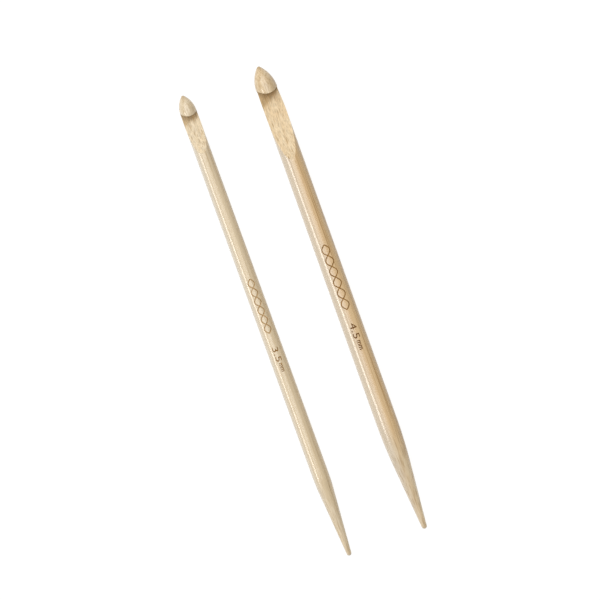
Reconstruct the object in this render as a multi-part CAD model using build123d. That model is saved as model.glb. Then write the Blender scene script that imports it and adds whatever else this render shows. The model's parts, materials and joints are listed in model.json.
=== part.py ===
from build123d import *

import os
from dataclasses import dataclass
from math import asin, atan2, cos, degrees, radians, sin, tan

# A pair of double-ended bamboo hooks. All lengths are in millimetres and all angles in degrees.
# Frame: the hooks lie side by side on the table plane Z = 0, crochet heads toward +Y, needle points
# toward -Y, throats and thumb flats facing +Z. X = 0, Y = 0 is the middle of the pair's footprint.

point_line = -51.0  # Y of both needle points
lip_round = 0.12  # hand-sanded rounding along the edge of the lip
overcut = 2.0  # how far the throat cutter runs out past the rod's surface

head_spacing = 17.1  # between the two axes, level with the head tips
point_spacing = 16.6  # between the two axes, level with the needle points


@dataclass(frozen=True)
class HookSize:
    """The sizes of one hook. Stations are distances from the head tip along the axis."""

    node: str
    diameter: float  # the rod and gauge size
    length: float  # head tip to needle point
    nose_radius: float  # blunt end of the head
    head_taper: float  # station where the head's nose reaches the full diameter
    lip_station: float  # front edge of the lip, on the throat side of the rod
    undercut: float  # lean of the lip's inner wall away from square
    skew: float  # how far the hand-cut throat turns about the vertical, its +X side toward the point
    throat_radius: float  # hollow between the lip's wall and the thumb flat
    flat_end: float  # station where the thumb flat runs out at the surface
    flat_slope: float  # angle between the thumb flat and the axis where it runs out
    flat_hollow: float  # radius of the thumb flat, which is ground slightly hollow along its length
    point_angle: float  # half angle of the needle point
    point_radius: float  # rounding of the needle's tip
    point_blend: float  # radius of the long curve from the shaft into the point

    @property
    def radius(self) -> float:
        return self.diameter / 2

    @property
    def head_tip(self) -> float:
        return point_line + self.length


thick = HookSize(
    node="hook_4_5_mm",
    diameter=4.5,
    length=102.0,
    nose_radius=0.45,
    head_taper=4.9,
    lip_station=6.05,
    undercut=16.5,
    skew=4.5,
    throat_radius=0.8,
    flat_end=20.7,
    flat_slope=15.3,
    flat_hollow=117.0,
    point_angle=5.3,
    point_radius=0.55,
    point_blend=105.0,
)

thin = HookSize(
    node="hook_3_5_mm",
    diameter=3.5,
    length=101.65,
    nose_radius=0.4,
    head_taper=3.6,
    lip_station=4.6,
    undercut=19.0,
    skew=6.0,
    throat_radius=0.6,
    flat_end=12.95,
    flat_slope=21.0,
    flat_hollow=35.0,
    point_angle=4.6,
    point_radius=0.5,
    point_blend=38.0,
)


def at_station(size: HookSize, out: float, station: float) -> tuple[float, float]:
    """A point of the half outline: its distance from the axis, and Y for its station."""
    return (out, size.head_tip - station)


def outline_arc(
    size: HookSize, out: float, station: float, radius: float, start: float, end: float
) -> Edge:
    """An arc of the half outline.

    Its centre is given as a distance from the axis and a station, and its start and end as angles
    in radians from the outward direction, toward the head.
    """
    turns = (start, (start + end) / 2, end)
    places = [at_station(size, out + radius * cos(t), station - radius * sin(t)) for t in turns]
    return ThreePointArc(*places)


def nose_lines(size: HookSize) -> list[Edge]:
    """The head's outline: a small nose arc, then a tangent arc out to the full diameter."""
    r, nose, taper = size.radius, size.nose_radius, size.head_taper
    # The side arc ends square to the radius at head_taper and touches the nose arc from outside.
    side = ((taper - nose) ** 2 + r**2 - nose**2) / (2 * (r - nose))
    touch = atan2(taper - nose, side - r)
    return [
        outline_arc(size, 0, nose, nose, radians(90), touch),
        outline_arc(size, r - side, taper, side, touch, 0),
    ]


def point_lines(size: HookSize) -> list[Edge]:
    """The needle point's outline: a long blend off the shaft, a straight cone and a round tip."""
    r, tip, blend = size.radius, size.point_radius, size.point_blend
    a = radians(size.point_angle)
    tip_centre = size.length - tip
    cone_out = r - blend * (1 - cos(a))
    cone_station = tip_centre - (cone_out - tip / cos(a)) / tan(a)
    blend_arc = outline_arc(size, r - blend, cone_station - blend * sin(a), blend, 0, -a)
    tip_arc = outline_arc(size, 0, tip_centre, tip, -a, -radians(90))
    return [blend_arc, Line(blend_arc @ 1, tip_arc @ 0), tip_arc]


def turned_rod(size: HookSize) -> Part:
    """The rod as turned, before the throat is cut: head nose, straight shaft and needle point."""
    head, point = nose_lines(size), point_lines(size)
    shaft = Line(head[-1] @ 1, point[0] @ 0)
    axis = Line(point[-1] @ 1, head[0] @ 0)
    return revolve(make_face(head + [shaft] + point + [axis]), Axis.Y)


def throat_cutter(size: HookSize) -> Part:
    """What leaves the lip, the throat's hollow and the thumb flat, cut right across the rod.

    In the side view it is the rim of a large grinding wheel, up to the lip's inner wall.
    """
    r, slope, lean = size.radius, radians(size.flat_slope), tan(radians(size.undercut))
    lip, hollow = size.head_tip - size.lip_station, size.flat_hollow
    run_out = size.head_tip - size.flat_end
    wheel = Pos(run_out + hollow * sin(slope), r + hollow * cos(slope)) * Circle(hollow)
    wall_side = Polyline(
        (lip + 2 * r * lean, -r),
        (lip - overcut * lean, r + overcut),
        (run_out - overcut / tan(slope), r + overcut),
        (run_out - overcut / tan(slope), -r),
        close=True,
    )
    outline = wheel & make_face(wall_side)
    deepest = outline.vertices().sort_by(Axis.Y)[0]
    outline = fillet(deepest, size.throat_radius)
    wedge = extrude(Plane.YZ * outline, amount=size.diameter, both=True)
    lip_middle = Pos(0, lip, 0)
    return lip_middle * Rot(0, 0, -size.skew) * lip_middle.inverse() * wedge


def lip_edge(size: HookSize, hook: Part) -> ShapeList[Edge]:
    """The curved edge where the lip's wall meets the outside of the head."""
    reach = size.radius * tan(radians(size.skew)) + size.diameter * tan(radians(size.undercut))
    lip = size.head_tip - size.lip_station
    near = [e for e in hook.edges() if abs(e.center().Y - lip) < reach and e.center().Z > 0]
    return ShapeList(e for e in near if e.bounding_box().max.Z > size.radius - 0.01)


def make_hook(size: HookSize) -> Part:
    """One hook lying along Y through X = 0, throat up, its underside on Z = 0."""
    hook = turned_rod(size) - throat_cutter(size)
    hook = fillet(lip_edge(size, hook), lip_round)
    return Pos(0, 0, size.radius) * hook


def lay_out() -> dict[str, Part]:
    """Both hooks side by side, the thin one turned a touch, centred on their shared footprint."""
    middle_spacing = (head_spacing + point_spacing) / 2
    lay_angle = degrees(asin((head_spacing - point_spacing) / thick.length))
    thick_hook = make_hook(thick)
    thin_hook = Pos(-middle_spacing, 0, 0) * Rot(0, 0, lay_angle) * make_hook(thin)
    box = Compound([thick_hook, thin_hook]).bounding_box()
    centre = Pos(-(box.min.X + box.max.X) / 2, -(box.min.Y + box.max.Y) / 2, -box.min.Z)
    return {thick.node: centre * thick_hook, thin.node: centre * thin_hook}


os.makedirs("parts", exist_ok=True)
for node, solid in lay_out().items():
    export_step(solid, f"parts/{node}.step")
    box = solid.bounding_box()
    print(node, f"volume {solid.volume:.1f} mm3", box.min, box.max)
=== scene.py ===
import json
import logging
import math
from dataclasses import dataclass, field, replace
from enum import Enum
from typing import Any, Union

import bmesh
import bpy
from mathutils import Matrix, Vector


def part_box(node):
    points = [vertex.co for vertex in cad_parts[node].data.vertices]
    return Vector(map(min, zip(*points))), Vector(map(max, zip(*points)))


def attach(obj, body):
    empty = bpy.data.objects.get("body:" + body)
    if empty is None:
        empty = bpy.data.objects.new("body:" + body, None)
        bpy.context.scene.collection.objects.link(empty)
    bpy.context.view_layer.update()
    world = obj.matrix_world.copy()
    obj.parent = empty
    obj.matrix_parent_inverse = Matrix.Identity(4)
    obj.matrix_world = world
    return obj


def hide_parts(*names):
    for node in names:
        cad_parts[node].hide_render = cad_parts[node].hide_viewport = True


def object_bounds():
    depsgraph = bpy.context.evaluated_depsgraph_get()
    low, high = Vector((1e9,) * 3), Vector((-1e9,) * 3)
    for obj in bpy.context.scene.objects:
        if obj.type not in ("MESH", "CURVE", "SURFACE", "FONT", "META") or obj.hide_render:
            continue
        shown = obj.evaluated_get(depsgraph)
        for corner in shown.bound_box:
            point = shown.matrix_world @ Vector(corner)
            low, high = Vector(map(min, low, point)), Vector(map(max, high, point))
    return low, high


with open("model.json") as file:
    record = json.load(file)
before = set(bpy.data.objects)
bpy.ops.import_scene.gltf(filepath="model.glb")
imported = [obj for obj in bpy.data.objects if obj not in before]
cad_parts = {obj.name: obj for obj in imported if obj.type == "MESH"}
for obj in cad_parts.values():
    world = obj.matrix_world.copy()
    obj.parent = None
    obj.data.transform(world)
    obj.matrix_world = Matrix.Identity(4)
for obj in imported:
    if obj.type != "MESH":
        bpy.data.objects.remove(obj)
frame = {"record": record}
CAD_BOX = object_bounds()

MM = 0.001
LEAST_EDGE = 0.002 * MM  # a shorter edge that a cut leaves is closed up
SAME_PLACE = 1e-7  # metres: points nearer than this are one
ON_PLANE = 1e-9  # metres: a point nearer than this to a cutting plane lies on it
LETTER_WELD = 1e-5  # points of a text nearer than this share of its size are one
WHITE = (1.0, 1.0, 1.0, 1.0)
log = logging.getLogger("hooks")

Colour = tuple[float, float, float]
Number = Union[int, float]
Span = tuple[float, float]


# ---------------------------------------------------------------- shader maths


class Signal:
    """A shader value that can be used in ordinary expressions."""

    def __init__(self, tree: "ShaderTree", socket: bpy.types.NodeSocket) -> None:
        """Wraps one output socket of a node in the tree."""
        self.tree = tree
        self.socket = socket

    def __add__(self, other: "Value") -> "Signal":
        """The sum of the two values."""
        return self.tree.maths("ADD", self, other)

    def __radd__(self, other: "Value") -> "Signal":
        """The sum of the two values."""
        return self.tree.maths("ADD", other, self)

    def __sub__(self, other: "Value") -> "Signal":
        """This value less the other."""
        return self.tree.maths("SUBTRACT", self, other)

    def __rsub__(self, other: "Value") -> "Signal":
        """The other value less this one."""
        return self.tree.maths("SUBTRACT", other, self)

    def __mul__(self, other: "Value") -> "Signal":
        """The product of the two values."""
        return self.tree.maths("MULTIPLY", self, other)

    def __rmul__(self, other: "Value") -> "Signal":
        """The product of the two values."""
        return self.tree.maths("MULTIPLY", other, self)

    def between(self, low: float, high: float) -> "Signal":
        """Eases from 0 at low to 1 at high.

        Args:
            low: the value that gives 0.
            high: the value that gives 1. It may be under low.

        Returns:
            The eased value.
        """
        node = self.tree.node(
            "ShaderNodeMapRange",
            {"interpolation_type": "SMOOTHSTEP"},
            {"Value": self, "From Min": low, "From Max": high, "To Min": 0.0, "To Max": 1.0},
        )
        return Signal(self.tree, node.outputs["Result"])

    def about(self, middle: float, swing: float) -> "Signal":
        """Rescales a value that runs from 0 to 1.

        Args:
            middle: what 0.5 becomes.
            swing: how far apart 0 and 1 come to be.

        Returns:
            The rescaled value.
        """
        return self * swing + (middle - swing / 2)


Value = Union[Signal, Number]


class ShaderTree:
    """A material's node tree, with one method that makes any node."""

    def __init__(self, name: str) -> None:
        """Starts a material that has no nodes yet.

        Args:
            name: the material's name.
        """
        self.material = bpy.data.materials.new(name)
        self.material.use_nodes = True
        self.nodes = self.material.node_tree.nodes
        self.links = self.material.node_tree.links
        self.nodes.clear()

    def node(
        self,
        kind: str,
        settings: dict[str, Any] | None = None,
        inputs: dict[Any, Any] | None = None,
    ) -> bpy.types.Node:
        """Makes one node.

        Args:
            kind: the node's type.
            settings: attributes set before its sockets.
            inputs: the value or link of each named or numbered socket.

        Returns:
            The new node.
        """
        made = self.nodes.new(kind)
        for name, value in (settings or {}).items():
            setattr(made, name, value)
        for name, value in (inputs or {}).items():
            if isinstance(value, Signal):
                self.links.new(value.socket, made.inputs[name])
            elif isinstance(value, bpy.types.NodeSocket):
                self.links.new(value, made.inputs[name])
            else:
                made.inputs[name].default_value = value
        return made

    def maths(self, operation: str, first: Value, second: Value) -> Signal:
        """Joins two numbers or values with one Math node."""
        node = self.node("ShaderNodeMath", {"operation": operation}, {0: first, 1: second})
        return Signal(self, node.outputs[0])

    def mix(self, share: Value, first: Any, second: Any) -> bpy.types.NodeSocket:
        """Blends two colours.

        Args:
            share: how much of the second colour shows.
            first: the colour, or its socket, at share 0.
            second: the colour, or its socket, at share 1.

        Returns:
            The blended colour's socket.
        """
        ends = [(*c, 1.0) if isinstance(c, tuple) else c for c in (first, second)]
        settings = {"data_type": "RGBA", "clamp_factor": True}
        # A Mix node's colour sockets come after its number and vector ones.
        node = self.node("ShaderNodeMix", settings, {0: share, 6: ends[0], 7: ends[1]})
        return node.outputs[2]

    def shade(self, colour: Any, factor: Signal) -> bpy.types.NodeSocket:
        """The colour, lighter or darker by a factor."""
        node = self.node(
            "ShaderNodeVectorMath", {"operation": "SCALE"}, {0: colour, "Scale": factor}
        )
        return node.outputs[0]

    def filtered(self, colour: Any, glass: Colour) -> bpy.types.NodeSocket:
        """The colour, seen through a tinted glass."""
        node = self.node(
            "ShaderNodeVectorMath", {"operation": "MULTIPLY"}, {0: colour, 1: glass}
        )
        return node.outputs[0]

    def bump(self, strength: float, distance: float, height: Signal) -> bpy.types.NodeSocket:
        """A normal that follows small bumps.

        Args:
            strength: how much of the bumps shows, from 0 to 1.
            distance: how high a bump of 1 is, in metres.
            height: the bumps.

        Returns:
            The normal's socket.
        """
        inputs = {"Strength": strength, "Distance": distance, "Height": height}
        return self.node("ShaderNodeBump", None, inputs).outputs[0]

    def surface(self, **sockets: Any) -> bpy.types.Material:
        """Ends the tree with a Principled shader.

        Args:
            sockets: the shader's sockets, with _ in place of each space.

        Returns:
            The finished material.
        """
        inputs = {name.replace("_", " "): value for name, value in sockets.items()}
        shader = self.node("ShaderNodeBsdfPrincipled", None, inputs)
        self.node("ShaderNodeOutputMaterial", None, {"Surface": shader.outputs[0]})
        return self.material


class Grain:
    """Bamboo's own pattern: fibre bundles and fine fibres that run along the rod."""

    SEED_SHIFT = (7.3, 3.1, 5.7)  # how far a seed of 1 moves the pattern, in its own units
    STRENGTH: Span = (0.25, 1.0)  # the random values that give no bundle and a full one
    THREAD: Span = (0.5, 0.12)  # a bundle's edge and its dark core, as shares of the spacing

    def __init__(self, tree: ShaderTree, origin: Vector, seed: float) -> None:
        """Sets up coordinates in millimetres from a point on the rod's axis.

        Args:
            tree: the material's tree.
            origin: the point on the rod's axis.
            seed: shifts the pattern, so that each rod has its own.
        """
        self.tree = tree
        self.seed = seed
        place = tree.node("ShaderNodeTexCoord").outputs["Object"]
        centred = tree.node(
            "ShaderNodeMapping",
            {"vector_type": "TEXTURE"},
            {"Vector": place, "Location": origin, "Scale": (MM, MM, MM)},
        )
        self.place = centred.outputs[0]

    def stretched(self, across: float, along: float) -> bpy.types.NodeSocket:
        """Coordinates in which one unit is so many millimetres of the rod.

        Args:
            across: the millimetres across the rod.
            along: the millimetres along it.

        Returns:
            The coordinates' socket.
        """
        mapping = self.tree.node(
            "ShaderNodeMapping",
            {"vector_type": "POINT"},
            {
                "Vector": self.place,
                "Location": tuple(self.seed * shift for shift in self.SEED_SHIFT),
                "Scale": (1 / across, 1 / along, 1 / across),
            },
        )
        return mapping.outputs[0]

    def noise(self, across: float, along: float, detail: float = 2.0) -> Signal:
        """Soft streaks, about 0.5 on average.

        Args:
            across: a streak's width in millimetres.
            along: its length in millimetres.
            detail: how many finer layers it has.

        Returns:
            The streaks' value.
        """
        node = self.tree.node(
            "ShaderNodeTexNoise",
            {"noise_dimensions": "3D"},
            {"Vector": self.stretched(across, along), "Scale": 1.0, "Detail": detail},
        )
        return Signal(self.tree, node.outputs[0])

    def bundles(self, spacing: float, along: float, wander: float) -> Signal:
        """Fibre bundles: threads along the rod that end as dashes where it is cut aslant.

        Args:
            spacing: millimetres from one bundle to the next.
            along: millimetres over which a bundle comes and goes.
            wander: how far the bundles drift, as a share of their spacing.

        Returns:
            1 in the middle of the darkest bundles and 0 between them.
        """
        drift = self.noise(spacing * 2, along / 3)
        shifted = self.tree.node(
            "ShaderNodeVectorMath",
            {"operation": "ADD"},
            {0: self.stretched(spacing, along), 1: (drift * wander).socket},
        )
        cells = self.tree.node(
            "ShaderNodeTexVoronoi",
            {"voronoi_dimensions": "3D", "feature": "F1"},
            {"Vector": shifted.outputs[0], "Scale": 1.0, "Randomness": 1.0},
        )
        apart = self.tree.node("ShaderNodeSeparateColor", None, {0: cells.outputs["Color"]})
        strength = Signal(self.tree, apart.outputs[0]).between(*self.STRENGTH)
        return Signal(self.tree, cells.outputs["Distance"]).between(*self.THREAD) * strength

    def axis_part(self, index: int) -> Signal:
        """One coordinate in millimetres: 0 across, 1 along, 2 up from the axis."""
        apart = self.tree.node("ShaderNodeSeparateXYZ", None, {0: self.place})
        return Signal(self.tree, apart.outputs[index])


@dataclass(frozen=True)
class Streaks:
    """One kind of soft streak, and the noise levels between which it comes in."""

    across: float  # millimetres
    along: float  # millimetres
    detail: float
    low: float
    high: float

    def on(self, grain: Grain) -> Signal:
        """The streaks on one rod: 0 between them and 1 in their middle."""
        return grain.noise(self.across, self.along, self.detail).between(self.low, self.high)


BROAD_BANDS = Streaks(across=0.8, along=40.0, detail=3.0, low=0.34, high=0.66)
THIN_BUNDLES = 0.7  # how dark the thin fibre bundles are beside the thick ones
THICK_SHARE = 0.6  # the thick bundles' part in the height of the surface


@dataclass(frozen=True)
class BambooTone:
    """The colours of one rod, from its palest wood to its darkest fibres, with its painted sheen and
    painted shade, and the brown stain that also paints the lip's shadow.
    """

    pale: Colour
    honey: Colour
    fibre: Colour
    painted_sheen: Colour
    shade_streak: Colour
    stain_and_shadow: Colour
    seed: float  # shifts the pattern, so that each rod has its own

    def wood(self, grain: Grain, contrast: float) -> tuple[bpy.types.NodeSocket, Signal]:
        """The wood under any finish: pale and honey bands with darker fibre bundles in them.

        Args:
            grain: the rod's pattern.
            contrast: how dark the bundles are, from 0 to 1.

        Returns:
            The colour, and the bundles as a value that is 1 where they are darkest.
        """
        broad = BROAD_BANDS.on(grain)
        thick = grain.bundles(spacing=0.4, along=30.0, wander=0.6)
        thin = grain.bundles(spacing=0.24, along=18.0, wander=0.6)
        colour = grain.tree.mix(broad, self.pale, self.honey)
        colour = grain.tree.mix(thick * contrast, colour, self.fibre)
        colour = grain.tree.mix(thin * (THIN_BUNDLES * contrast), colour, self.fibre)
        return colour, thick * THICK_SHARE + thin * (1 - THICK_SHARE)


@dataclass(frozen=True)
class PolishedBamboo:
    """The turned and waxed outside of a rod, with painted sheen and painted shade on its sides, and
    its places in millimetres.
    """

    tone: BambooTone
    amber: Colour  # what the oiled surface lets through
    nose: float  # from the lip to the head's tip
    point: float  # from the lip to where the needle point's taper starts
    sheen_end: float  # across from the axis to where the painted sheen has gone
    shade_place: float  # across from the axis to the middle of the painted shade on the +X side
    shade_share: float
    contrast: float = 0.8  # how dark the fibre bundles are
    shaft_rise: Span = (-0.5, -3.0)  # along from the lip, where the shaft's finish sets in
    head_rise: Span = (-0.5, 1.0)  # along from the lip, where the head's finish sets in
    point_rise: float = 10.0  # the length over which the point's finish sets in
    sheen_fade: float = 2.1  # the width over which the painted sheen fades
    sheen_share: float = 0.85
    shade_rise: float = 1.3  # the width over which the painted shade sets in
    streaks: Streaks = Streaks(across=0.3, along=50.0, detail=3.0, low=0.4, high=0.66)
    head_shade_side: Span = (0.3, 1.8)  # across from the axis, where the painted shade on the head's +X side sets in
    head_shade_share: float = 0.4
    mottle: Streaks = Streaks(across=0.22, along=1.5, detail=4.0, low=0.46, high=0.7)
    mottle_share: float = 0.6
    flecks: Streaks = Streaks(across=0.25, along=4.0, detail=4.0, low=0.48, high=0.68)
    fleck_share: float = 0.55
    tip_shade_rise: Span = (1.2, 0.1)  # back from the head's tip, where the painted shade on the nose sets in
    tip_shade_share: float = 0.7

    def dress_shaft(
        self, grain: Grain, colour: bpy.types.NodeSocket, taper: Signal
    ) -> bpy.types.NodeSocket:
        """Adds the oiled surface, a painted sheen on the -X side and painted shade, streaked like
        the grain, on the +X side.

        Args:
            grain: the rod's pattern.
            colour: the wood's colour.
            taper: 1 on the needle point and 0 before it.

        Returns:
            The colour with the shaft's finish.
        """
        tree = grain.tree
        across, along = grain.axis_part(0), grain.axis_part(1)
        shaft = along.between(*self.shaft_rise)
        colour = tree.mix(shaft * (1 - taper), colour, tree.filtered(colour, self.amber))
        # The paler, greyer band on the -X side is a painted sheen: the reflection of the pale room
        # at grazing angles.
        sheen_side = across.between(self.sheen_end, self.sheen_end - self.sheen_fade)
        colour = tree.mix(sheen_side * shaft * self.sheen_share, colour, self.tone.painted_sheen)
        # The darker +X side is painted shade, where the light falls off, broken up by grain streaks.
        side = across.between(self.shade_place - self.shade_rise, self.shade_place)
        streaks = self.streaks.on(grain).about(middle=0.75, swing=0.5)
        return tree.mix(side * streaks * self.shade_share, colour, self.tone.shade_streak)

    def dress_ends(
        self, grain: Grain, colour: bpy.types.NodeSocket, taper: Signal
    ) -> bpy.types.NodeSocket:
        """Mottles the nose and the point, which cut the fibres aslant, and paints shade on the
        head's +X side and on its tip.

        Args:
            grain: the rod's pattern.
            colour: the colour so far.
            taper: 1 on the needle point and 0 before it.

        Returns:
            The colour with both ends' finish.
        """
        tree = grain.tree
        across, along = grain.axis_part(0), grain.axis_part(1)
        head = along.between(*self.head_rise)
        # The darker +X side of the head is painted shade.
        side = head * across.between(*self.head_shade_side)
        colour = tree.mix(side * self.head_shade_share, colour, self.tone.shade_streak)
        mottle = self.mottle.on(grain) * head
        flecks = self.flecks.on(grain) * taper
        mottled = mottle * self.mottle_share + flecks * self.fleck_share
        colour = tree.mix(mottled, colour, self.tone.fibre)
        # The darkening towards the nose tip is painted shade.
        start, end = self.tip_shade_rise
        tip = along.between(self.nose - start, self.nose - end)
        return tree.mix(tip * self.tip_shade_share, colour, self.tone.fibre)

    def make(self, name: str, origin: Vector) -> bpy.types.Material:
        """Builds the material.

        Args:
            name: the material's name.
            origin: the point on the rod's axis under its lip.

        Returns:
            The finished material.
        """
        tree = ShaderTree(name)
        grain = Grain(tree, origin, self.tone.seed)
        colour, bundles = self.tone.wood(grain, self.contrast)
        fine = grain.noise(across=0.11, along=14.0, detail=4.0)
        taper = grain.axis_part(1).between(-self.point, -self.point - self.point_rise)
        colour = self.dress_shaft(grain, colour, taper)
        colour = self.dress_ends(grain, colour, taper)
        return tree.surface(
            Base_Color=tree.shade(colour, fine.about(middle=1.0, swing=0.26)),
            Roughness=fine * 0.16 + bundles * 0.08 + 0.42,
            Normal=tree.bump(0.12, 0.03 * MM, fine * 0.5 - bundles * 0.5),
            Coat_Weight=1.0,
            Coat_Roughness=0.17,
            Specular_IOR_Level=0.2,
        )


@dataclass(frozen=True)
class CutBamboo:
    """The throat and thumb flat, cut across the fibres and only sanded."""

    tone: BambooTone
    stain_and_shadow_length: float  # millimetres from the lip to the end of the stain and painted shadow, on the axis
    stain_and_shadow_slant: float  # how much further the stain and painted shadow reach for each millimetre toward -X
    stain_and_shadow_share: float
    stain_and_shadow_core: float = 0.35  # the share of its length over which the stain and painted shadow are full
    stain_and_shadow_ragged: float = 1.2  # millimetres over which the edge of the stain and painted shadow wanders
    stain_and_shadow_in_bundles: float = 0.3  # how much more of the stain and painted shadow the fibre bundles take up
    contrast: float = 0.95  # how dark the fibre bundles are

    def make(self, name: str, origin: Vector) -> bpy.types.Material:
        """Builds the material.

        Args:
            name: the material's name.
            origin: the point on the rod's axis under its lip.

        Returns:
            The finished material.
        """
        tree = ShaderTree(name)
        grain = Grain(tree, origin, self.tone.seed)
        colour, bundles = self.tone.wood(grain, self.contrast)
        sanded = grain.noise(across=0.1, along=1.2, detail=4.0)
        coarse = grain.noise(across=0.2, along=1.5, detail=3.0)
        fine = sanded * 0.4 + coarse * 0.6
        # The brown stain under the lip is also a painted shadow of the lip, reaching further towards
        # -X.
        ragged = grain.noise(across=0.3, along=1.6) * self.stain_and_shadow_ragged
        slanted = grain.axis_part(0) * self.stain_and_shadow_slant - grain.axis_part(1)
        past_lip = slanted + ragged - self.stain_and_shadow_ragged / 2
        stain_and_shadow = past_lip.between(self.stain_and_shadow_length, self.stain_and_shadow_core * self.stain_and_shadow_length)
        stained_and_shaded = stain_and_shadow * (bundles * self.stain_and_shadow_in_bundles + self.stain_and_shadow_share)
        colour = tree.mix(stained_and_shaded, colour, self.tone.stain_and_shadow)
        return tree.surface(
            Base_Color=tree.shade(colour, fine.about(middle=1.05, swing=1.5)),
            Roughness=fine.about(middle=0.625, swing=0.15),
            Normal=tree.bump(0.4, 0.04 * MM, fine * 0.6 - bundles),
            Specular_IOR_Level=0.3,
        )


@dataclass(frozen=True)
class BurntBamboo:
    """The scorched floor and walls of a burnt mark."""

    light: Colour
    dark: Colour
    seed: float
    scorch: Span = (0.35, 0.65)  # the noise levels that are light and dark

    def make(self, name: str, origin: Vector) -> bpy.types.Material:
        """Builds the material.

        Args:
            name: the material's name.
            origin: a point on the rod's axis.

        Returns:
            The finished material.
        """
        tree = ShaderTree(name)
        grain = Grain(tree, origin, self.seed)
        blotch = grain.noise(across=0.35, along=0.5, detail=3.0)
        fine = grain.noise(across=0.1, along=2.0, detail=3.0)
        colour = tree.mix(blotch.between(*self.scorch), self.light, self.dark)
        return tree.surface(
            Base_Color=tree.shade(colour, fine.about(middle=1.0, swing=0.4)),
            Roughness=blotch.about(middle=0.7, swing=0.2),
            Normal=tree.bump(0.4, 0.03 * MM, fine),
            Specular_IOR_Level=0.1,
        )


class Burn(Enum):
    """How hot the marking iron was."""

    FAINT = BurntBamboo(light=(0.58, 0.40, 0.20), dark=(0.44, 0.27, 0.11), seed=2.5)
    LIGHT = BurntBamboo(light=(0.42, 0.23, 0.07), dark=(0.27, 0.13, 0.03), seed=2.0)
    DEEP = BurntBamboo(light=(0.25, 0.11, 0.025), dark=(0.13, 0.05, 0.01), seed=3.0)


# ---------------------------------------------------------------- mesh helpers


def arc(centre: Vector, radius: float, start: float, end: float, steps: int) -> list[Vector]:
    """Points along an arc in the outline's plane.

    Args:
        centre: the arc's centre, as (out from the axis, along the axis).
        radius: the arc's radius.
        start: the first point's angle from the outward direction, in radians.
        end: the last point's angle.
        steps: how many spans the arc has.

    Returns:
        The points from start to end.
    """
    turns = [start + (end - start) * i / steps for i in range(steps + 1)]
    return [centre + radius * Vector((math.cos(t), math.sin(t))) for t in turns]


def finished_mesh(name: str, bm: bmesh.types.BMesh) -> bpy.types.Object:
    """Turns a bmesh into an object at the origin.

    Args:
        name: the name of the object and its mesh.
        bm: the bmesh, which is freed.

    Returns:
        The new object.
    """
    mesh = bpy.data.meshes.new(name)
    bm.to_mesh(mesh)
    bm.free()
    piece = bpy.data.objects.new(name, mesh)
    bpy.context.scene.collection.objects.link(piece)
    return piece


def carve(piece: bpy.types.Object, tool: bpy.types.Object) -> None:
    """Takes a closed tool out of a piece, and then removes the tool.

    The cut faces get the tool's material.

    Args:
        piece: the object that is cut.
        tool: the object that is taken away from it.
    """
    cut = piece.modifiers.new("carve", "BOOLEAN")
    cut.operation = "DIFFERENCE"
    cut.solver = "MANIFOLD"
    cut.object = tool
    cut.material_mode = "TRANSFER"
    bpy.context.view_layer.update()
    seen = piece.evaluated_get(bpy.context.evaluated_depsgraph_get())
    carved = bpy.data.meshes.new_from_object(seen)
    piece.modifiers.remove(cut)
    bm = bmesh.new()
    bm.from_mesh(carved)
    bmesh.ops.remove_doubles(bm, verts=bm.verts[:], dist=LEAST_EDGE)
    bmesh.ops.dissolve_degenerate(bm, dist=LEAST_EDGE, edges=bm.edges[:])
    bm.to_mesh(carved)
    bm.free()
    old, piece.data = piece.data, carved
    carved.name = piece.name
    bpy.data.meshes.remove(old)
    spent = tool.data
    bpy.data.objects.remove(tool)
    bpy.data.meshes.remove(spent)


def thicken(bm: bmesh.types.BMesh, depth: float) -> None:
    """Makes a closed slab of a flat sheet that lies at height 0.

    Args:
        bm: the sheet, which is changed.
        depth: how far up the slab reaches.
    """
    made = bmesh.ops.extrude_face_region(bm, geom=bm.faces[:])
    lifted = [v for v in made["geom"] if isinstance(v, bmesh.types.BMVert)]
    bmesh.ops.translate(bm, verts=lifted, vec=(0, 0, depth))
    bmesh.ops.recalc_face_normals(bm, faces=bm.faces[:])


# ---------------------------------------------------------------- marks


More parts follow.
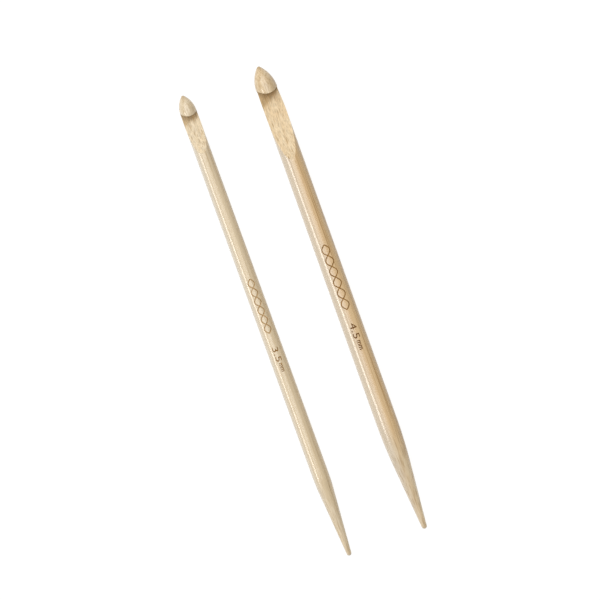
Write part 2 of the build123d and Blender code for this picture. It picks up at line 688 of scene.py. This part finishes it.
@dataclass(frozen=True)
class Mark:
    """Something burnt into the top of the shaft, read from the head towards the point."""

    station: float  # distance from the head tip to where the mark starts
    length: float
    height: float
    middle: float = 0.1 * MM  # how far the mark's middle line stands off the top, towards +X
    burn: Burn = Burn.DEEP
    depth: float = 0.09 * MM
    proud: float = 0.3 * MM  # how far the marking iron reaches out past the wood
    slice_width: float = 0.12 * MM  # of the flat strips that let the mark bend round the rod
    least_edge: float = 0.006 * MM  # a shorter edge of the mark is closed up

    def sheet(self) -> bmesh.types.BMesh:
        """The mark as a flat sheet: X is the way it reads and Y is its height."""
        raise NotImplementedError

    def tool(self, radius: float) -> bpy.types.Object:
        """The marking iron: the mark's sheet, made thick and wrapped round the shaft.

        Args:
            radius: the shaft's radius.

        Returns:
            A closed object, in the hook's own frame.
        """
        bm = self.sheet()
        self.fit(bm)
        slices = int(self.height / self.slice_width) + 1
        for i in range(1, slices):
            level = self.height * (i / slices - 0.5)
            bmesh.ops.bisect_plane(
                bm,
                geom=bm.verts[:] + bm.edges[:] + bm.faces[:],
                dist=ON_PLANE,
                plane_co=(0, level, 0),
                plane_no=(0, 1, 0),
            )
        bmesh.ops.remove_doubles(bm, verts=bm.verts[:], dist=self.least_edge)
        bmesh.ops.dissolve_degenerate(bm, dist=self.least_edge, edges=bm.edges[:])
        thicken(bm, self.depth + self.proud)
        for v in bm.verts:
            turn = (v.co.y + self.middle) / radius
            out = radius - self.depth + v.co.z
            along = self.station + v.co.x
            v.co = Vector((out * math.sin(turn), -along, out * math.cos(turn)))
        return finished_mesh("marking_iron", bm)

    def fit(self, bm: bmesh.types.BMesh) -> None:
        """Stretches the sheet to the mark's length and height, and centres its height.

        Args:
            bm: the sheet, which is changed.
        """
        low = Vector(min(v.co[i] for v in bm.verts) for i in range(3))
        high = Vector(max(v.co[i] for v in bm.verts) for i in range(3))
        size = high - low
        move = Matrix.Translation((-low.x, -(low.y + high.y) / 2, -low.z))
        scale = Matrix.Diagonal((self.length / size.x, self.height / size.y, 1.0, 1.0))
        bmesh.ops.transform(bm, matrix=scale @ move, verts=bm.verts[:])


@dataclass(frozen=True)
class FigureMark(Mark):
    """Size figures."""

    words: str = ""
    boldness: float = 0.0  # how far the strokes are let out, as a share of the letters' size

    def sheet(self) -> bmesh.types.BMesh:
        """The figures as a flat sheet, made from a text.

        Returns:
            The sheet, in the text's own units.
        """
        text = bpy.data.curves.new("figures", "FONT")
        text.body = self.words
        text.offset = self.boldness
        text.resolution_u = 6
        writing = bpy.data.objects.new("figures", text)
        bpy.context.scene.collection.objects.link(writing)
        bpy.context.view_layer.update()
        seen = writing.evaluated_get(bpy.context.evaluated_depsgraph_get())
        flat = bpy.data.meshes.new_from_object(seen)
        bm = bmesh.new()
        bm.from_mesh(flat)
        bpy.data.meshes.remove(flat)
        bpy.data.objects.remove(writing)
        bpy.data.curves.remove(text)
        bmesh.ops.remove_doubles(bm, verts=bm.verts[:], dist=LETTER_WELD)
        return bm


@dataclass(frozen=True)
class ChainStrand(Mark):
    """One of the two waving strands of a chain-stitch motif."""

    loops: float = 6.0
    stroke: float = 0.23 * MM
    side: int = 1  # which way the strand sets out
    steps_per_loop: int = 16

    def sheet(self) -> bmesh.types.BMesh:
        """A ribbon along a sine wave: a short edge, extruded step by step.

        Returns:
            The ribbon as a flat sheet.
        """
        steps = int(self.loops * self.steps_per_loop)
        reach = (self.height - self.stroke) / 2
        bm = bmesh.new()
        ends = [bm.verts.new((0, s * self.stroke / 2, 0)) for s in (-1, 1)]
        edge = bm.edges.new(ends)
        for i in range(steps + 1):
            phase = math.pi * self.loops * i / steps
            middle = Vector((self.length * i / steps, self.side * reach * math.sin(phase), 0))
            slope = self.side * reach * math.cos(phase) * math.pi * self.loops / self.length
            across = Vector((-slope, 1, 0)).normalized() * self.stroke / 2
            if i:
                made = bmesh.ops.extrude_edge_only(bm, edges=[edge])["geom"]
                edge = next(e for e in made if isinstance(e, bmesh.types.BMEdge))
                ends = sorted(edge.verts, key=lambda v: (v.co - lower_end).length)
            ends[0].co = middle - across
            ends[1].co = middle + across
            lower_end = ends[0].co.copy()
        return bm


# ---------------------------------------------------------------- hooks


@dataclass(frozen=True)
class HookShape:
    """The sizes of one hook. Stations are distances from the head tip, angles are in degrees."""

    nose_radius: float
    head_taper: float  # station where the head is as thick as the rod
    lip_station: float
    undercut: float  # lean of the lip's wall towards the head tip, away from square
    skew: float  # turn of the whole cut, seen from above
    throat_radius: float
    flat_end: float  # station where the thumb flat runs out
    flat_slope: float  # slope of the thumb flat at that station
    flat_hollow: float  # radius of the thumb flat, which is ground slightly hollow
    lip_bow: float  # how much nearer the head tip the cut reaches at the rod's sides
    head_lean: float  # how far the nose stands off the axis, towards -X
    point_angle: float  # half the angle of the needle point's cone
    point_radius: float
    point_blend: float  # radius of the long curve from the shaft into the point


@dataclass
class Hook:
    """One double-ended hook, made from a single bamboo rod."""

    name: str
    node: str
    body: str
    slot: str
    mount: str
    shape: HookShape
    marks: tuple[Mark, ...]
    polished: PolishedBamboo
    cut: CutBamboo
    sides: int = 128
    ring_gap: float = 1.0 * MM  # no ring may lie along the lip, or its edge can't be rounded
    overcut: float = 2.0 * MM  # how far the throat's tool reaches out past the rod
    edge_round: float = 0.05 * MM
    round_spans: int = 3
    rim_angle: float = 25.0  # degrees: an edge sharper than this is on the rim
    rim_reach: float = 0.88  # the share of the radius within which the rim is rounded
    crease_angle: float = 32.0  # degrees: an edge sharper than this is shaded as a crease
    lean_reach: float = 1.5  # where the nose's lean ends, as a share of the lip's station
    tip_spans: int = 8
    side_spans: int = 20
    throat_spans: int = 14
    flat_spans: int = 8
    bow_spans: int = 24
    radius: float = field(init=False)
    length: float = field(init=False)
    axis_point: Vector = field(init=False)
    axis_way: Vector = field(init=False)
    head_tip: Vector = field(init=False)

    def __post_init__(self) -> None:
        """Reads the hook's place, radius and length from the frame."""
        mounts = {m["name"]: m for m in frame["record"]["mounts"]}
        shaft = mounts[self.mount]
        low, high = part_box(self.node)
        self.radius = shaft["dims"]["r_mm"] * MM
        self.axis_point = Vector(shaft["pos_m"])
        self.axis_way = Vector(shaft["axis"])
        self.length = (high.y - low.y) / abs(self.axis_way.y)
        reach = (high.y - self.axis_point.y) / abs(self.axis_way.y)
        self.head_tip = self.axis_point - self.axis_way * reach

    def head_outline(self) -> list[Vector]:
        """The head's outline: a small nose arc, then a tangent arc out to the full diameter.

        Returns:
            Its points as (out from the axis, along the axis), from the tip.
        """
        r, nose, taper = self.radius, self.shape.nose_radius, self.shape.head_taper
        run = taper - nose
        side = (run**2 + r**2 - nose**2) / (2 * (r - nose))
        lean = math.atan2(run, side - r)
        # Along the outline's plane the second coordinate is minus the station.
        nose_arc = arc(Vector((0, -nose)), nose, math.pi / 2, lean, self.tip_spans)
        side_arc = arc(Vector((r - side, -taper)), side, lean, 0, self.side_spans)
        return nose_arc + side_arc[1:]

    def point_outline(self) -> list[Vector]:
        """The needle point's outline: a long blend, a straight cone and a round tip.

        Returns:
            Its points as (out from the axis, along the axis), from the shaft to the tip.
        """
        r, s = self.radius, self.shape
        a = math.radians(s.point_angle)
        tip = self.length - s.point_radius
        cone_out = r - s.point_blend * (1 - math.cos(a))
        cone_start = tip - (cone_out - s.point_radius / math.cos(a)) / math.tan(a)
        blend_start = cone_start - s.point_blend * math.sin(a)
        blend_centre = Vector((r - s.point_blend, -blend_start))
        blend = arc(blend_centre, s.point_blend, 0, -a, self.tip_spans)
        tip_arc = arc(Vector((0, -tip)), s.point_radius, -a, -math.pi / 2, self.tip_spans)
        return blend + self.evenly(blend[-1], tip_arc[0]) + tip_arc

    def evenly(self, start: Vector, end: Vector) -> list[Vector]:
        """Points between two outline points, about a ring's gap apart, without the two ends."""
        spans = max(1, round((end - start).length / self.ring_gap))
        return [start.lerp(end, i / spans) for i in range(1, spans)]

    def rod(self) -> bmesh.types.BMesh:
        """The rod as turned, along -Y from the head tip at the origin.

        Returns:
            Its closed mesh.
        """
        head, point = self.head_outline(), self.point_outline()
        outline = head + self.evenly(head[-1], point[0]) + point
        bm = bmesh.new()
        verts = [bm.verts.new((out, along, 0)) for out, along in outline]
        edges = [bm.edges.new(pair) for pair in zip(verts, verts[1:])]
        bmesh.ops.spin(
            bm,
            geom=verts + edges,
            cent=(0, 0, 0),
            axis=(0, 1, 0),
            angle=2 * math.pi,
            steps=self.sides,
            use_merge=True,
        )
        bmesh.ops.remove_doubles(bm, verts=bm.verts[:], dist=SAME_PLACE)
        bmesh.ops.recalc_face_normals(bm, faces=bm.faces[:])
        return bm

    def throat_outline(self) -> tuple[list[Vector], float]:
        """The cut that leaves the lip, the throat and the hollow-ground flat, from the side.

        Returns:
            Its corners as (station, height over the axis), with the throat's first, and the
            angle between the lip's wall and the flat there, in radians.
        """
        s = self.shape
        slope, lean = math.radians(s.flat_slope), math.radians(s.undercut)
        square_to_flat = Vector((-math.sin(slope), math.cos(slope)))
        centre = Vector((s.flat_end, self.radius)) + s.flat_hollow * square_to_flat
        lip = Vector((s.lip_station, self.radius))
        down = Vector((-math.sin(lean), -math.cos(lean)))
        off = lip - centre
        abreast = off.dot(down)
        depth = math.sqrt(abreast**2 + s.flat_hollow**2 - off.length_squared) - abreast
        corner = lip + depth * down
        corner_slope = math.asin((corner.x - centre.x) / s.flat_hollow)
        quarter = math.pi / 2
        flat = arc(centre, s.flat_hollow, corner_slope - quarter, slope - quarter, self.flat_spans)
        run_out = flat[-1] + self.overcut * Vector((1 / math.tan(slope), 1))
        wall_top = lip + self.overcut * Vector((math.tan(lean), 1))
        return [*flat, run_out, wall_top], quarter - lean - corner_slope

    def throat_tool(self) -> bpy.types.Object:
        """The tool that cuts the throat: its outline, drawn out sideways, bowed and turned.

        Returns:
            A closed object, in the hook's own frame.
        """
        s = self.shape
        half_width = 2 * self.radius
        outline, throat_angle = self.throat_outline()
        bm = bmesh.new()
        corners = [bm.verts.new((-half_width, -station, height)) for station, height in outline]
        bm.faces.new(corners)
        bmesh.ops.bevel(
            bm,
            geom=[corners[0]],
            offset=s.throat_radius / math.tan(throat_angle / 2),
            offset_type="OFFSET",
            segments=self.throat_spans,
            profile=0.5,
            material=-1,
            affect="VERTICES",
        )
        made = bmesh.ops.extrude_face_region(bm, geom=bm.faces[:])["geom"]
        far = [v for v in made if isinstance(v, bmesh.types.BMVert)]
        bmesh.ops.translate(bm, verts=far, vec=(2 * half_width, 0, 0))
        across = [e for e in bm.edges if abs(e.verts[0].co.x - e.verts[1].co.x) > half_width]
        bmesh.ops.subdivide_edges(bm, edges=across, cuts=self.bow_spans - 1)
        for v in bm.verts:
            v.co.y += s.lip_bow * (v.co.x / self.radius) ** 2
        bmesh.ops.rotate(
            bm,
            cent=(0, -s.lip_station, 0),
            matrix=Matrix.Rotation(math.radians(-s.skew), 3, "Z"),
            verts=bm.verts[:],
        )
        bmesh.ops.recalc_face_normals(bm, faces=bm.faces[:])
        return finished_mesh("throat_tool", bm)

    def rim(self, bm: bmesh.types.BMesh) -> list[bmesh.types.BMEdge]:
        """The sharp edges that sanding rounds: the lip's and the flat's, but not the rod's sides.

        Args:
            bm: the hook's mesh after the throat is cut.

        Returns:
            The edges of the rim.
        """
        least = math.radians(self.rim_angle)
        sharp = [e for e in bm.edges if e.is_manifold and e.calc_face_angle() > least]
        side = self.rim_reach * self.radius
        return [e for e in sharp if max(abs(v.co.x) for v in e.verts) < side]

    def soften_edges(self, piece: bpy.types.Object) -> None:
        """Rounds the lip and the flat's rim, as sanding does.

        Args:
            piece: the hook after the throat is cut.
        """
        bm = bmesh.new()
        bm.from_mesh(piece.data)
        on_rim = {v for e in self.rim(bm) for v in e.verts}
        bmesh.ops.remove_doubles(bm, verts=list(on_rim), dist=self.edge_round)
        on_rim = {v for e in self.rim(bm) for v in e.verts}
        # Points this close to the rim would be crossed by its rounding.
        too_near = 2 * self.edge_round
        weld: dict[bmesh.types.BMVert, bmesh.types.BMVert] = {}
        for v in on_rim:
            for e in v.link_edges:
                near = e.other_vert(v)
                if near not in on_rim and near not in weld and e.calc_length() < too_near:
                    weld[near] = v
        bmesh.ops.weld_verts(bm, targetmap=weld)
        bmesh.ops.bevel(
            bm,
            geom=self.rim(bm),
            offset=self.edge_round,
            offset_type="OFFSET",
            segments=self.round_spans,
            profile=0.5,
            material=-1,
            affect="EDGES",
            clamp_overlap=False,
        )
        bm.to_mesh(piece.data)
        bm.free()

    def build(self) -> bpy.types.Object:
        """Models the hook and places it where its CAD node lies.

        Returns:
            The finished piece.
        """
        lip = self.head_tip + self.axis_way * self.shape.lip_station
        piece = finished_mesh(self.name, self.rod())
        piece.data.materials.append(self.polished.make(f"{self.name}_polished", lip))
        tool = self.throat_tool()
        tool.data.materials.append(self.cut.make(f"{self.name}_cut", lip))
        carve(piece, tool)
        self.soften_edges(piece)
        self.lean_head(piece)
        burnt = {
            burn: burn.value.make(f"{self.name}_{burn.name.lower()}_burn", lip) for burn in Burn
        }
        for mark in self.marks:
            iron = mark.tool(self.radius)
            iron.data.materials.append(burnt[mark.burn])
            carve(piece, iron)
        self.place(piece)
        return piece

    def lean_head(self, piece: bpy.types.Object) -> None:
        """Lets the hand-shaped nose stand off the axis, most at its tip and none past the throat.

        Args:
            piece: the hook, in its own frame.
        """
        reach = self.lean_reach * self.shape.lip_station
        for v in piece.data.vertices:
            share = max(0.0, 1 + v.co.y / reach)
            v.co.x -= self.shape.head_lean * share

    def place(self, piece: bpy.types.Object) -> None:
        """Moves the mesh from the hook's own frame to its place, and smooths its shading.

        Args:
            piece: the hook, in its own frame.
        """
        turn = math.atan2(self.axis_way.x, -self.axis_way.y)
        move = Matrix.Translation(self.head_tip) @ Matrix.Rotation(turn, 4, "Z")
        piece.data.transform(move)
        piece.data.shade_smooth()
        piece.data.set_sharp_from_angle(angle=math.radians(self.crease_angle))
        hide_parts(self.node)
        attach(piece, self.body)


# ---------------------------------------------------------------- studio


@dataclass(frozen=True)
class SoftLight:
    """One soft light."""

    name: str
    place: Vector
    size: tuple[float, float]
    power: float
    colour: Colour = (1.0, 1.0, 1.0)

    def build(self) -> None:
        """Adds the light, aimed at the middle of the floor."""
        data = bpy.data.lights.new(self.name, "AREA")
        data.shape = "RECTANGLE"
        data.size, data.size_y = self.size
        data.energy = self.power
        data.color = self.colour
        lamp = bpy.data.objects.new(self.name, data)
        lamp.location = self.place
        lamp.rotation_euler = (-self.place).to_track_quat("-Z", "Y").to_euler()
        bpy.context.scene.collection.objects.link(lamp)


@dataclass(frozen=True)
class Studio:
    """A pale floor, soft lights and a long lens straight above."""

    turn: float = 19.74  # degrees the camera is turned from the hooks' length
    width: float = 124.8 * MM  # how much of the floor the camera sees
    centre: Vector = Vector((-0.14 * MM, 2.44 * MM, 0.0))
    distance: float = 1.2
    sensor: float = 36.0
    floor_radius: float = 12.0
    floor_sides: int = 64
    floor_drop: float = 0.01 * MM  # how far the floor lies under the hooks
    floor_grey: float = 0.15
    floor_glow: float = 0.9
    room_light: float = 0.2

    def build_floor(self) -> None:
        """A wide pale disc just under the hooks."""
        bm = bmesh.new()
        bmesh.ops.create_circle(
            bm, cap_ends=True, segments=self.floor_sides, radius=self.floor_radius
        )
        floor = finished_mesh("floor", bm)
        level = CAD_BOX[0][2] - self.floor_drop
        floor.data.transform(Matrix.Translation((0, 0, level)))
        tree = ShaderTree("floor_paper")
        paper = tree.surface(
            Base_Color=(self.floor_grey, self.floor_grey, self.floor_grey, 1.0),
            Roughness=0.9,
            Emission_Color=WHITE,
            Emission_Strength=self.floor_glow,
        )
        # A wide glowing floor is found well enough without sampling it as a lamp.
        paper.cycles.emission_sampling = "NONE"
        floor.data.materials.append(paper)

    def build_lights(self) -> None:
        """An overhead softbox, a low strip on the left and a dim room."""
        key = SoftLight("key", place=Vector((-0.12, 0.6, 1.35)), size=(1.5, 1.5), power=20.0)
        left_box = SoftLight(
            "left_box",
            place=Vector((-0.80, 0.0, 0.60)),
            size=(0.22, 0.30),
            power=2.0,
            colour=(1.0, 0.95, 0.88),
        )
        for light in (key, left_box):
            light.build()
        world = bpy.data.worlds.new("room")
        world.use_nodes = True
        room = world.node_tree.nodes["Background"]
        room.inputs["Color"].default_value = WHITE
        room.inputs["Strength"].default_value = self.room_light
        bpy.context.scene.world = world

    def build_camera(self) -> None:
        """A camera straight above, turned so that the hooks lie aslant."""
        data = bpy.data.cameras.new("camera")
        data.sensor_width = self.sensor
        data.lens = self.sensor * self.distance / self.width
        data.clip_end = 2 * self.floor_radius
        camera = bpy.data.objects.new("camera", data)
        camera.location = self.centre + Vector((0, 0, self.distance))
        camera.rotation_euler = (0, 0, math.radians(-self.turn))
        bpy.context.scene.collection.objects.link(camera)
        bpy.context.scene.camera = camera
        bpy.context.scene.view_settings.view_transform = "Standard"

    def build(self) -> None:
        """Builds the floor, the lights and the camera."""
        self.build_floor()
        self.build_lights()
        self.build_camera()


# ---------------------------------------------------------------- the set


THICK_TONE = BambooTone(
    pale=(0.80, 0.64, 0.42),
    honey=(0.74, 0.56, 0.34),
    fibre=(0.46, 0.31, 0.15),
    painted_sheen=(0.72, 0.635, 0.515),
    shade_streak=(0.44, 0.28, 0.11),
    stain_and_shadow=(0.44, 0.28, 0.11),
    seed=1.0,
)

THIN_TONE = BambooTone(
    pale=(0.80, 0.67, 0.48),
    honey=(0.74, 0.60, 0.40),
    fibre=(0.50, 0.36, 0.20),
    painted_sheen=(0.72, 0.66, 0.56),
    shade_streak=(0.54, 0.39, 0.20),
    stain_and_shadow=(0.44, 0.28, 0.11),
    seed=4.0,
)

SECOND_STRAND = 1.15  # how deep the motif's second strand goes beside the first


def chain_marks(station: float, length: float, height: float, burn: Burn) -> list[Mark]:
    """The two strands of a chain-stitch motif.

    Args:
        station: distance from the head tip to where the motif starts.
        length: the motif's length.
        height: the motif's height.
        burn: how dark it is.

    Returns:
        Both strands. The second goes a little deeper, so that the two floors don't coincide.
    """
    over = ChainStrand(station, length, height, burn=burn)
    return [over, replace(over, side=-1, depth=SECOND_STRAND * over.depth)]


def thick_hook() -> Hook:
    """The 4.5 mm hook.

    Returns:
        The hook, ready to be built.
    """
    return Hook(
        name="thick_hook",
        node="hook_4_5_mm",
        body="thick_hook",
        slot="bamboo_thick",
        mount="thick_shaft",
        shape=HookShape(
            nose_radius=0.45 * MM,
            head_taper=4.9 * MM,
            lip_station=6.05 * MM,
            undercut=22.0,
            skew=4.5,
            throat_radius=0.8 * MM,
            flat_end=20.7 * MM,
            flat_slope=15.3,
            flat_hollow=117.0 * MM,
            lip_bow=0.5 * MM,
            head_lean=0.24 * MM,
            point_angle=5.3,
            point_radius=0.55 * MM,
            point_blend=105.0 * MM,
        ),
        marks=(
            *chain_marks(39.4 * MM, 14.4 * MM, 1.9 * MM, Burn.LIGHT),
            FigureMark(56.7 * MM, 3.3 * MM, 1.4 * MM, words="4.5"),
            FigureMark(60.5 * MM, 2.0 * MM, 0.75 * MM, words="mm", boldness=0.02),
        ),
        polished=PolishedBamboo(
            THICK_TONE,
            amber=(0.98, 0.88, 0.74),
            nose=6.05,
            point=72.0,
            sheen_end=0.6,
            shade_place=2.2,
            shade_share=0.9,
        ),
        cut=CutBamboo(THICK_TONE, stain_and_shadow_length=1.9, stain_and_shadow_slant=0.7, stain_and_shadow_share=0.65),
    )


def thin_hook() -> Hook:
    """The 3.5 mm hook.

    Returns:
        The hook, ready to be built.
    """
    return Hook(
        name="thin_hook",
        node="hook_3_5_mm",
        body="thin_hook",
        slot="bamboo_thin",
        mount="thin_shaft",
        shape=HookShape(
            nose_radius=0.4 * MM,
            head_taper=3.6 * MM,
            lip_station=4.6 * MM,
            undercut=23.0,
            skew=6.0,
            throat_radius=0.6 * MM,
            flat_end=12.95 * MM,
            flat_slope=21.0,
            flat_hollow=35.0 * MM,
            lip_bow=0.35 * MM,
            head_lean=0.0,
            point_angle=4.6,
            point_radius=0.5 * MM,
            point_blend=38.0 * MM,
        ),
        marks=(
            *chain_marks(40.55 * MM, 12.1 * MM, 1.6 * MM, Burn.FAINT),
            FigureMark(55.65 * MM, 3.1 * MM, 1.25 * MM, burn=Burn.LIGHT, words="3.5"),
            FigureMark(59.15 * MM, 1.82 * MM, 0.66 * MM, burn=Burn.LIGHT, words="mm", boldness=0.02),
        ),
        polished=PolishedBamboo(
            THIN_TONE,
            amber=(0.98, 0.96, 0.92),
            nose=4.6,
            point=80.0,
            sheen_end=0.2,
            shade_place=1.9,
            shade_share=0.6,
        ),
        cut=CutBamboo(THIN_TONE, stain_and_shadow_length=1.6, stain_and_shadow_slant=0.35, stain_and_shadow_share=0.6),
        ring_gap=1.3 * MM,
    )


def main() -> None:
    """Builds the studio and both hooks."""
    Studio().build()
    for hook in (thick_hook(), thin_hook()):
        piece = hook.build()
        log.info("%s has %d faces", piece.name, len(piece.data.polygons))


if __name__ == "__main__":
    logging.basicConfig(level=logging.INFO, format="%(message)s")
    main()
